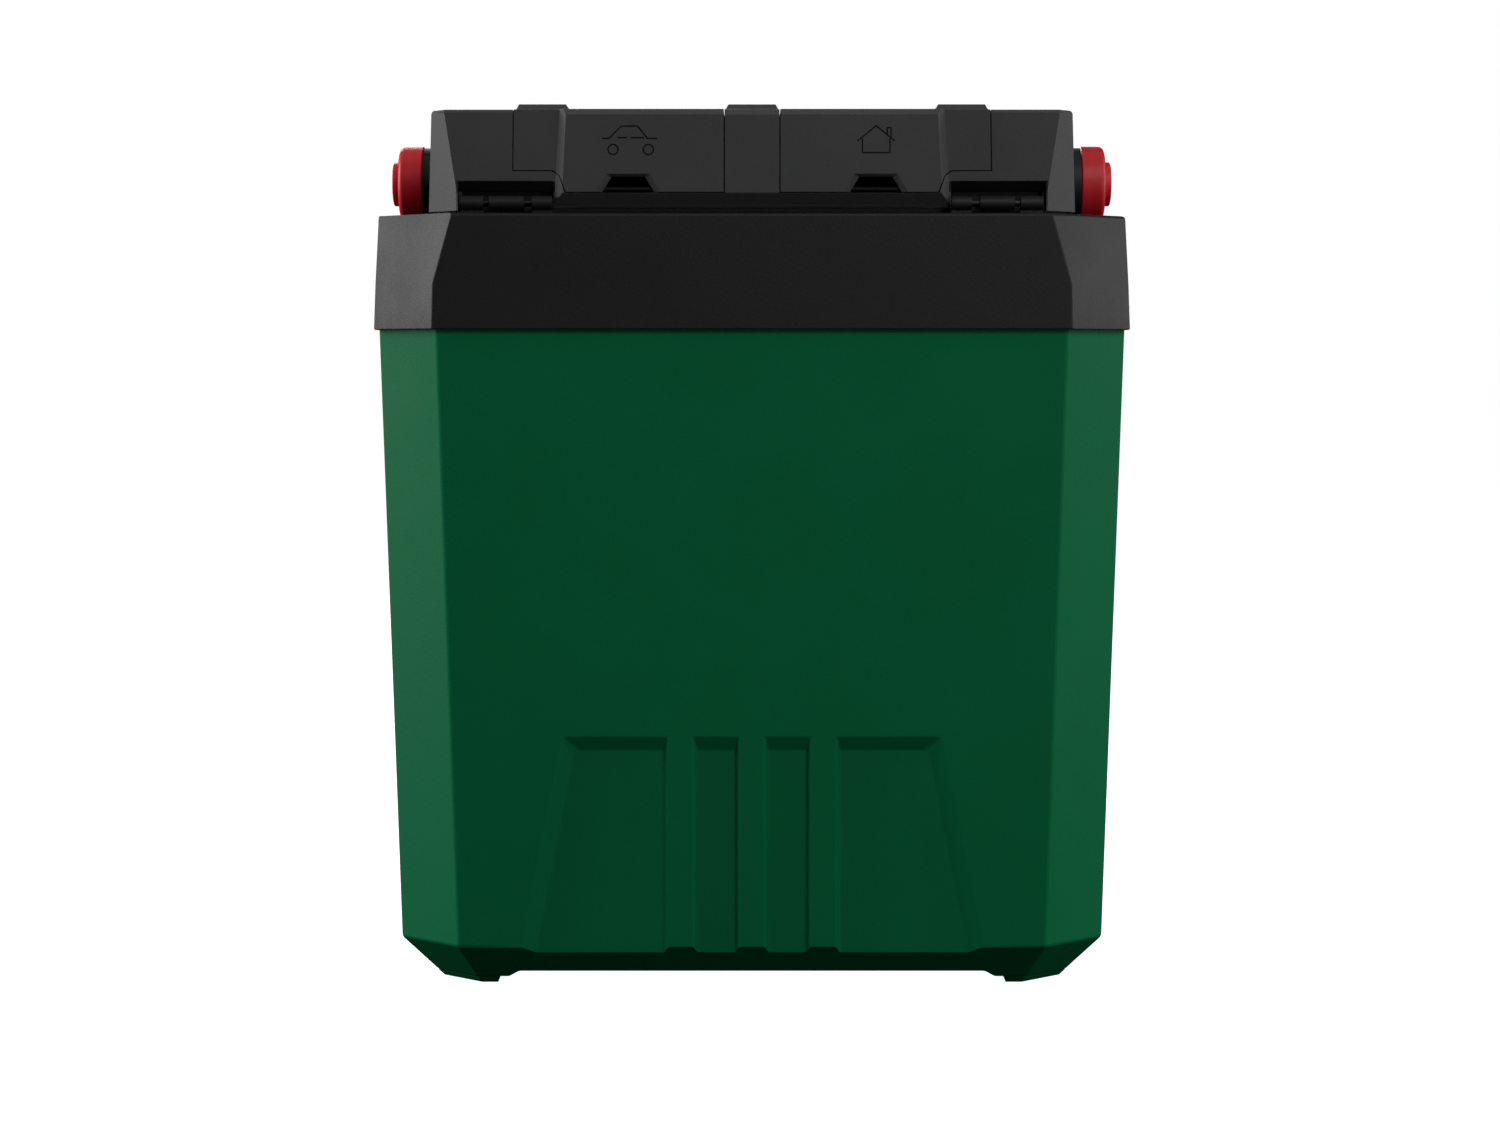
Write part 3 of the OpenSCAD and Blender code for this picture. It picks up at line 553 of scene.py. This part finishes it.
class Piece:
    """One visible piece, made with bmesh and placed in its mesh."""

    def __init__(self, name: str) -> None:
        """Starts an empty piece."""
        self.name = name
        self.bm = bmesh.new()

    def from_node(self, node: str) -> "Piece":
        """Takes over the shape of a CAD node, with its doubles merged and its flat faces joined."""
        self.bm.from_mesh(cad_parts[node].data)
        bmesh.ops.remove_doubles(self.bm, verts=self.bm.verts[:], dist=MERGE)
        bmesh.ops.dissolve_degenerate(self.bm, dist=MERGE, edges=self.bm.edges[:])
        bmesh.ops.dissolve_limit(
            self.bm,
            angle_limit=FLAT_TURN,
            verts=self.bm.verts[:],
            edges=self.bm.edges[:],
            use_dissolve_boundaries=False,
        )
        return self

    def edges(self, test: Optional[EdgeTest], angle: float) -> list[bmesh.types.BMEdge]:
        """Returns the edges that turn by more than an angle and pass a test."""
        limit = math.radians(angle)
        shared = [e for e in self.bm.edges if len(e.link_faces) == 2]
        return [e for e in shared if e.calc_face_angle() > limit and (test is None or test(e))]

    def round_edges(
        self,
        radius: float,
        segments: int = 2,
        test: Optional[EdgeTest] = None,
        angle: float = SHARP_TURN,
    ) -> "Piece":
        """Rounds the sharp edges that have room for it.

        Args:
            radius: Offset of the rounding in metres.
            segments: Steps across the rounding.
            test: Which of the sharp edges are rounded.
            angle: Smallest turn that counts as sharp, in degrees.

        Returns:
            This piece.
        """
        found = with_room(self.edges(test, angle), radius)
        if found:
            bmesh.ops.bevel(
                self.bm,
                geom=found,
                offset=radius,
                offset_type="OFFSET",
                segments=segments,
                profile=0.5,
                affect="EDGES",
                clamp_overlap=False,
                material=-1,
                miter_outer="SHARP",
                loop_slide=True,
            )
        return self

    def inlay(self, test: FaceTest) -> "Piece":
        """Marks the faces that take the second material."""
        for face in self.bm.faces:
            face.material_index = 1 if test(face) else 0
        return self

    def finish(
        self, finish: str, body: Body, replaces: Sequence[str], slot: str = "", second: str = ""
    ) -> None:
        """Writes the mesh, gives it its material and puts it on its body.

        Args:
            finish: Name of the finish.
            body: The body that the piece rides on.
            replaces: CAD nodes that the piece stands for.
            slot: The record's material slot, if it isn't the finish's own name; not used.
            second: Name of the finish of the marked faces.
        """
        for edge in self.bm.edges:
            smaller = min((face.calc_area() for face in edge.link_faces), default=0.0)
            limit = FACET_TURN if smaller > FACET_AREA else BREAK_TURN
            edge.smooth = len(edge.link_faces) != 2 or edge.calc_face_angle() < limit
        for face in self.bm.faces:
            face.smooth = True
        mesh = bpy.data.meshes.new(self.name)
        self.bm.to_mesh(mesh)
        self.bm.free()
        piece = bpy.data.objects.new(self.name, mesh)
        bpy.context.scene.collection.objects.link(piece)
        for name in filter(None, (finish, second)):
            mesh.materials.append(PAINT.get(name))
        even = piece.modifiers.new("even_shading", "WEIGHTED_NORMAL")
        even.keep_sharp = True
        even.weight = SHADING_WEIGHT
        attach(piece, body.value)
        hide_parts(*replaces)
        LOG.info("%s: %d faces, on %s", self.name, len(mesh.polygons), body.value)


def dress(node: str, finish: str) -> None:
    """Gives a CAD node the material of a finish and leaves its shape as it is."""
    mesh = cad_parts[node].data
    mesh.materials.clear()
    mesh.materials.append(PAINT.get(finish))
    LOG.info("%s: dressed in %s", node, finish)


def soften(node: str, finish: str, body: Body, radius: float, slot: str = "") -> None:
    """Replaces a CAD node by the same shape with rounded edges.

    Args:
        node: The CAD node.
        finish: Name of the finish.
        body: The body that the piece rides on.
        radius: Offset of the rounding in metres.
        slot: The record's material slot, if it isn't the finish's own name.
    """
    Piece(node + "_skin").from_node(node).round_edges(radius).finish(finish, body, [node], slot)


def quarter(radius: float, top: float, size: float, steps: int) -> list[tuple[float, float]]:
    """Returns the outline of a rounded rim, as radii and depths, from its side to its face.

    Args:
        radius: Radius of the side.
        top: Depth of the face.
        size: Radius of the rounding.
        steps: Number of steps in the rounding.

    Returns:
        The points, with the one where the rounding starts.
    """
    turns = [math.pi / 2 * step / steps for step in range(steps + 1)]
    return [(radius - size * (1 - math.cos(t)), top - size + size * math.sin(t)) for t in turns]


# ---------------------------------------------------------------- sub-assemblies


@dataclass
class BodyShell:
    """The green body with its insulation and liner.

    Attributes:
        edge: Rounding of the shell's edges.
        panel_edge: Rounding of the sunk panels' edges.
        foot_edge: Rounding of the feet.
        panel_x: Half the width within which a sunk panel lies.
        panel_y: Distance from the middle beyond which a sunk panel lies.
        panel_z: Heights between which a sunk panel lies.
        panel_foot: Height up to which a panel's edges stay sharp.
        panel_turn: Smallest turn of a panel's edges that are rounded, in degrees.
    """

    edge: float = 1.3 * MM
    panel_edge: float = 0.7 * MM
    foot_edge: float = 0.5 * MM
    panel_x: float = 132 * MM
    panel_y: float = 130 * MM
    panel_z: tuple[float, float] = (19 * MM, 137 * MM)
    panel_foot: float = 26 * MM
    panel_turn: float = 18.0

    def in_panel(self, edge: bmesh.types.BMEdge) -> bool:
        """Tells whether an edge belongs to a sunk panel."""
        low, high = self.panel_z
        return all(
            abs(v.co.x) < self.panel_x and abs(v.co.y) > self.panel_y and low < v.co.z < high
            for v in edge.verts
        )

    def above_foot(self, edge: bmesh.types.BMEdge) -> bool:
        """Tells whether an edge of a sunk panel rises above the panel's foot."""
        return self.in_panel(edge) and max(v.co.z for v in edge.verts) > self.panel_foot

    def build(self) -> None:
        """Makes the shell, the feet, the foam and the liner."""
        shell = Piece("outer_shell_skin").from_node("outer_shell")
        shell.round_edges(self.edge, 3, lambda edge: not self.in_panel(edge))
        shell.round_edges(self.panel_edge, 2, self.above_foot, self.panel_turn)
        shell.finish("green_shell", Body.BOX, ["outer_shell"])
        soften("foot_pads", "green_shell", Body.BOX, self.foot_edge)
        soften("inner_liner", "liner_grey", Body.BOX, 0.6 * MM)
        dress("foam_insulation", "foam")


@dataclass
class Collar:
    """The black collar with its screws and pins.

    Attributes:
        edge: Rounding of the collar's edges.
        deck_edge: Rounding of the edge round its deck.
        deck_y: Distance from the middle beyond which the deck is the highest part.
        level: How far a point may lie from the deck's height.
        skirt: Height that the faces below the deck's outer edge have at least.
    """

    edge: float = 0.8 * MM
    deck_edge: float = 1.8 * MM
    deck_y: float = 145 * MM
    level: float = 0.1 * MM
    skirt: float = 20 * MM

    def on_deck(self, edge: bmesh.types.BMEdge, deck: float) -> bool:
        """Tells whether an edge runs round the outside of the deck."""
        low = min(v.co.z for f in edge.link_faces for v in f.verts)
        return all(abs(v.co.z - deck) < self.level for v in edge.verts) and low < deck - self.skirt

    def build(self) -> None:
        """Makes the collar and what it holds."""
        collar = Piece("top_collar_skin").from_node("top_collar")
        deck = max(v.co.z for v in collar.bm.verts if abs(v.co.y) > self.deck_y)
        collar.round_edges(self.deck_edge, 3, lambda edge: self.on_deck(edge, deck))
        collar.round_edges(self.edge, 2)
        collar.finish("collar", Body.BOX, ["top_collar"], "black_shell")
        dress("collar_insulation", "foam")
        soften("collar_screws", "steel", Body.BOX, 0.15 * MM)
        # The hinge pins take the near-black steel as painted shade in the gaps between the knuckles
        soften("hinge_pins", "shade_dark_steel", Body.BOX, 0.2 * MM, "steel")
        soften("pivot_pins", "steel", Body.BOX, 0.3 * MM)


@dataclass
class Lid:
    """The lid with its panel, foam, seal and vents.

    Attributes:
        edge: Rounding of the housing's edges.
        rim_edge: Rounding of the edge round its top.
        panel_edge: Rounding of the pale inner panel.
        rim_z: Heights between which the edge round the top lies.
        rim_x: Distance from the middle beyond which that edge runs along the sides.
        rim_y: Depth in front of which that edge runs along the front.
    """

    edge: float = 0.5 * MM
    rim_edge: float = 2.0 * MM
    panel_edge: float = 0.7 * MM
    rim_z: tuple[float, float] = (458 * MM, 464 * MM)
    rim_x: float = 120 * MM
    rim_y: float = -110 * MM

    def on_rim(self, edge: bmesh.types.BMEdge) -> bool:
        """Tells whether an edge runs round the lid's top, at its sides or its front."""
        low, high = self.rim_z
        return all(
            low < v.co.z < high and (abs(v.co.x) > self.rim_x or v.co.y < self.rim_y)
            for v in edge.verts
        )

    def build(self) -> None:
        """Makes the housing, the panel, the seal and the vents."""
        housing = Piece("lid_housing_skin").from_node("lid_housing")
        housing.round_edges(self.rim_edge, 3, self.on_rim).round_edges(self.edge, 2)
        housing.finish("lid", Body.LID, ["lid_housing"], "black_shell")
        for side in ("left", "right"):
            soften("lid_hinge_" + side, "collar", Body.LID, 0.3 * MM, "black_shell")
        soften("door_hinge_strips", "lid", Body.LID, 0.2 * MM, "black_shell")
        soften("lid_inner_panel", "liner_grey", Body.LID, self.panel_edge)
        dress("lid_insulation", "white_foam")
        soften("lid_seal", "seal_rubber", Body.LID, 0.3 * MM)
        soften("lid_screws", "steel", Body.LID, 0.15 * MM)
        for side in ("left", "right"):
            soften("vent_grille_" + side, "dark_trim", Body.LID, 0.15 * MM)


@dataclass
class Controls:
    """The control panel, its lights, its switch and the boards under it.

    Attributes:
        edge: Rounding of the panel's edges.
    """

    edge: float = 0.3 * MM

    def build(self) -> None:
        """Makes the panel and what belongs to it."""
        soften("control_panel", "dark_trim", Body.LID, self.edge)
        soften("indicator_lights", "lamp", Body.LID, 0.05 * MM)
        soften("mode_switch", "switch_grey", Body.SWITCH, 0.25 * MM)
        soften("control_board", "board_green", Body.LID, 0.1 * MM)
        soften("power_supply", "dark_trim", Body.LID, 0.5 * MM)


@dataclass
class CordBays:
    """The two bays behind the small doors.

    Attributes:
        door_edge: Rounding of the doors' edges.
        mark_y: Depths between which the floor of a mark's groove lies.
        mark_z: Heights between which a mark lies.
    """

    door_edge: float = 0.25 * MM
    mark_y: tuple[float, float] = (143.5 * MM, 143.9 * MM)
    mark_z: tuple[float, float] = (439 * MM, 456 * MM)

    def in_mark(self, face: bmesh.types.BMFace) -> bool:
        """Tells whether a face lies in the groove of a door's mark."""
        low, high = self.mark_z
        within = self.mark_y[0] < min(v.co.y for v in face.verts) < self.mark_y[1]
        return within and all(low < v.co.z < high for v in face.verts)

    def off_mark(self, edge: bmesh.types.BMEdge) -> bool:
        """Tells whether an edge borders on no face of a mark."""
        return not any(self.in_mark(face) for face in edge.link_faces)

    def build(self) -> None:
        """Makes the doors, the bays and the glands."""
        for side, body in (("left", Body.DOOR_LEFT), ("right", Body.DOOR_RIGHT)):
            door = Piece("cord_door_" + side + "_skin").from_node("cord_door_" + side)
            # The floors of the engraved marks take the near-black bay finish as painted shade in the
            # grooves
            door.inlay(self.in_mark).round_edges(self.door_edge, 2, self.off_mark)
            door.finish("lid", body, ["cord_door_" + side], "black_shell", second="bay_painted_shade")
            # The bay's inside takes the near-black finish as painted shade seen through the door's
            # notch
            soften("cord_bay_" + side, "bay_painted_shade", Body.LID, 0.3 * MM, "dark_trim")
            soften("cord_gland_" + side, "seal_rubber", Body.LID, 0.3 * MM)
        # The door hinge pins take the same near-black steel, painted as shade
        soften("door_hinge_pins", "shade_dark_steel", Body.LID, 0.1 * MM, "steel")


@dataclass
class CoolingUnit:
    """Heat sink, thermoelectric module, cold sink and fans."""

    def build(self) -> None:
        """Makes the sinks, the module, the pillars, the fans and the guard."""
        for node in ("heat_sink", "cold_sink"):
            soften(node, "heat_aluminium", Body.LID, 0.15 * MM)
        soften("peltier_module", "ceramic", Body.LID, 0.1 * MM)
        soften("fan_pillars", "steel", Body.LID, 0.2 * MM)
        soften("outer_fan_frame", "fan_plastic", Body.LID, 0.3 * MM)
        soften("inner_fan_frame", "fan_plastic", Body.LID, 0.3 * MM)
        soften("outer_fan_rotor", "fan_plastic", Body.OUTER_FAN, 0.3 * MM)
        soften("inner_fan_rotor", "fan_plastic", Body.INNER_FAN, 0.3 * MM)
        soften("inner_fan_guard", "guard_grey", Body.LID, 0.3 * MM)


@dataclass
class Handle:
    """The carry handle with its grip, hubs and red caps.

    Attributes:
        arm_edge: Rounding of the arms and the bar.
        grip_ribs: Number of ribs along the grip.
        groove: Depth of the grooves between the ribs.
        grip_corner: Rounding along the grip.
        grip_end: Rounding of the grip's ends.
        cuts: Where a groove is cut across the grip, from its middle, in shares of the ribs' pitch.
        groove_half: Half the width of a groove, in shares of that pitch.
        cap_steps: Steps round a cap.
        cap_chamfer: Chamfer of a cap's foot.
        cap_shoulder: Rounding of a cap's outer edge.
        cap_ledge: Depth of the ledge round a cap's middle.
        cap_middle: Radius of a cap's middle.
        middle_edge: Rounding of that middle.
    """

    arm_edge: float = 1.0 * MM
    grip_ribs: int = 17
    groove: float = 0.9 * MM
    grip_corner: float = 6.9 * MM
    grip_end: float = 1.1 * MM
    cuts: tuple[float, ...] = (-0.24, -0.12, 0.12, 0.24)
    groove_half: float = 0.15
    cap_steps: int = 96
    cap_chamfer: float = 0.6 * MM
    cap_shoulder: float = 3 * MM
    cap_ledge: float = 3.9 * MM
    cap_middle: float = 12.35 * MM
    middle_edge: float = 1.0 * MM

    def grip(self) -> None:
        """Makes the ribbed grip round the bar."""
        low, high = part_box("handle_grip")
        size, middle = high - low, (low + high) / 2
        piece = Piece("handle_grip_ribbed")
        bm = piece.bm
        bmesh.ops.create_cube(bm, size=1.0)
        bmesh.ops.scale(bm, vec=size, verts=bm.verts[:])
        along = [e for e in bm.edges if abs((e.verts[0].co - e.verts[1].co).x) > size.x / 2]
        shape = {"profile": 0.5, "affect": "EDGES", "material": -1, "clamp_overlap": True}
        bmesh.ops.bevel(bm, geom=along, offset=self.grip_corner, segments=8, **shape)
        pitch = size.x / (self.grip_ribs + 1)
        for rib in range(self.grip_ribs + 1):
            centre = -size.x / 2 + pitch * (rib + 0.5)
            for step in self.cuts:
                bmesh.ops.bisect_plane(
                    bm,
                    geom=bm.verts[:] + bm.edges[:] + bm.faces[:],
                    plane_co=(centre + step * pitch, 0, 0),
                    plane_no=(1, 0, 0),
                    dist=1e-7,
                )
        for vert in bm.verts:
            share = (vert.co.x + size.x / 2) / pitch
            off = abs(share - math.floor(share) - 0.5)
            if off < self.groove_half:
                vert.co.y *= 1 - 2 * self.groove / size.y
                vert.co.z *= 1 - 2 * self.groove / size.z
        across = [f for f in bm.faces if abs(f.normal.x) > 0.9]
        ends = [f for f in across if abs(abs(f.calc_center_median().x) - size.x / 2) < 0.01 * MM]
        rims = list({e for f in ends for e in f.edges})
        bmesh.ops.bevel(bm, geom=rims, offset=self.grip_end, segments=3, **shape)
        bmesh.ops.translate(bm, vec=middle, verts=bm.verts[:])
        piece.finish("grip_rubber", Body.HANDLE, ["handle_grip"])

    def cap(self, side: str) -> None:
        """Makes one red cap by turning its outline round the pivot."""
        low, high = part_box("pivot_cap_" + side)
        sign = 1 if side == "right" else -1
        inner = low.x if sign > 0 else -high.x
        outer = high.x if sign > 0 else -low.x
        radius, height = (high.z - low.z) / 2, (low.z + high.z) / 2
        piece = Piece("pivot_cap_" + side + "_turned")
        bm = piece.bm
        depth = outer - inner
        ledge = depth - self.cap_ledge
        outline = [
            (0.0, 0.0),
            (radius - self.cap_chamfer, 0.0),
            (radius, self.cap_chamfer),
            *quarter(radius, ledge, self.cap_shoulder, 6),
            (13.4 * MM, ledge),
            (12.6 * MM, ledge + 0.2 * MM),
            (self.cap_middle, ledge + 0.7 * MM),
            *quarter(self.cap_middle, depth, self.middle_edge, 4),
            (7.2 * MM, depth),
            (6.6 * MM, depth - 0.5 * MM),
            (0.0, depth - 0.6 * MM),
        ]
        verts = [bm.verts.new((sign * (inner + x), r, 0)) for r, x in outline]
        wire = [bm.edges.new(pair) for pair in zip(verts, verts[1:])]
        bmesh.ops.spin(
            bm,
            geom=verts + wire,
            cent=(0, 0, 0),
            axis=(1, 0, 0),
            angle=math.tau,
            steps=self.cap_steps,
            use_merge=True,
        )
        bmesh.ops.remove_doubles(bm, verts=bm.verts[:], dist=0.005 * MM)
        bmesh.ops.recalc_face_normals(bm, faces=bm.faces[:])
        bmesh.ops.translate(bm, vec=(0, 0, height), verts=bm.verts[:])
        piece.finish("red_cap", Body.HANDLE, ["pivot_cap_" + side])

    def build(self) -> None:
        """Makes the arms, the bar, the grip and the caps."""
        for side in ("left", "right"):
            soften("handle_arm_" + side, "collar", Body.HANDLE, self.arm_edge, "black_shell")
            self.cap(side)
        soften("handle_bar", "collar", Body.HANDLE, self.arm_edge, "black_shell")
        self.grip()
        soften("handle_screws", "steel", Body.HANDLE, 0.15 * MM)


# ---------------------------------------------------------------- studio


@dataclass(frozen=True)
class Lamp:
    """A soft rectangular light.

    Attributes:
        name: Name of the light.
        place: Where it stands, in metres.
        target: Where it points.
        size: Width and height in metres.
        power: Power in watts.
    """

    name: str
    place: Point
    target: Point
    size: tuple[float, float]
    power: float

    def build(self) -> None:
        """Makes the light."""
        data = bpy.data.lights.new(self.name, "AREA")
        data.shape = "RECTANGLE"
        data.size, data.size_y = self.size
        data.energy = self.power
        lamp = bpy.data.objects.new(self.name, data)
        lamp.location = self.place
        aim = Vector(self.target) - Vector(self.place)
        lamp.rotation_euler = aim.to_track_quat("-Z", "Y").to_euler()
        lamp.visible_camera = False
        bpy.context.scene.collection.objects.link(lamp)


LAMPS = (
    Lamp("fill", (-0.9, 2.3, 2.0), (0, 0.1, 0.25), (1.6, 1.2), 42.0),
    Lamp("rim_left", (2.2, 0.0, 0.9), (0, 0, 0.25), (1.2, 1.6), 76.0),
    Lamp("rim_right", (-2.2, 0.0, 0.9), (0, 0, 0.25), (1.2, 1.6), 34.0),
    Lamp("top", (0.0, 0.0, 2.4), (0, 0, 0.4), (1.8, 1.8), 8.0),
    Lamp("low", (-1.3, 2.3, 0.25), (0, 0.1, 0.25), (1.0, 0.6), 10.0),
    Lamp("front", (0.6, -2.4, 1.6), (0, 0, 0.25), (1.6, 1.2), 40.0),
)


@dataclass
class Studio:
    """The floor, the backdrop, the lights and the camera.

    Attributes:
        lens: Focal length in millimetres.
        sensor: Width of the sensor in millimetres.
        clip: Nearest and farthest distance that the camera sees.
        eye: Where the camera stands.
        pitch: How far it looks down, in degrees.
        floor_size: Half the width of the floor.
        floor_tone: Grey of the floor.
    """

    lens: float = 74.4
    sensor: float = 36.0
    clip: tuple[float, float] = (0.05, 60.0)
    eye: Point = (0.00104, 1.760, 0.3303)
    pitch: float = 3.627
    floor_size: float = 20.0
    floor_tone: float = 0.4

    def camera(self) -> None:
        """Puts the camera behind the box, above the middle of the body, looking slightly down."""
        data = bpy.data.cameras.new("camera")
        data.lens, data.sensor_width = self.lens, self.sensor
        data.clip_start, data.clip_end = self.clip
        camera = bpy.data.objects.new("camera", data)
        camera.location = self.eye
        camera.rotation_euler = (math.radians(90 - self.pitch), 0, math.pi)
        bpy.context.scene.collection.objects.link(camera)
        bpy.context.scene.camera = camera

    def floor(self) -> None:
        """Lays a plain pale floor."""
        bm = bmesh.new()
        bmesh.ops.create_grid(bm, x_segments=2, y_segments=2, size=self.floor_size)
        mesh = bpy.data.meshes.new("floor")
        bm.to_mesh(mesh)
        bm.free()
        floor = bpy.data.objects.new("floor", mesh)
        bpy.context.scene.collection.objects.link(floor)
        w = Wiring("floor_paint")
        w.roughen(w.spread(w.noise(0.4, 2), 0.86, 0.9))
        w.set(Base_Color=(self.floor_tone,) * 3 + (1,), Specular_IOR_Level=0.0)
        w.set(Emission_Color=(1, 1, 1, 1), Emission_Strength=1.0)
        w.material.cycles.emission_sampling = "NONE"
        mesh.materials.append(w.material)
        floor.visible_diffuse = False
        floor.visible_glossy = False

    def world(self) -> None:
        """Makes the surroundings white."""
        scene = bpy.context.scene
        world = bpy.data.worlds.new("white_studio")
        world.use_nodes = True
        sky = world.node_tree.nodes["Background"]
        sky.inputs["Color"].default_value = (1, 1, 1, 1)
        sky.inputs["Strength"].default_value = 1.0
        world.cycles_visibility.diffuse = False
        world.cycles_visibility.glossy = False
        scene.world = world
        scene.view_settings.view_transform = "Standard"
        scene.view_settings.look = "None"

    def build(self) -> None:
        """Sets up the whole studio."""
        self.camera()
        self.floor()
        self.world()
        for lamp in LAMPS:
            lamp.build()


def main() -> None:
    """Builds the cool box and its studio."""
    logging.basicConfig(level=logging.INFO, format="%(message)s")
    Studio().build()
    for part in (BodyShell(), Collar(), Lid(), Controls(), CordBays(), CoolingUnit(), Handle()):
        part.build()
        LOG.info("%s is done", type(part).__name__)


if __name__ == "__main__":
    main()
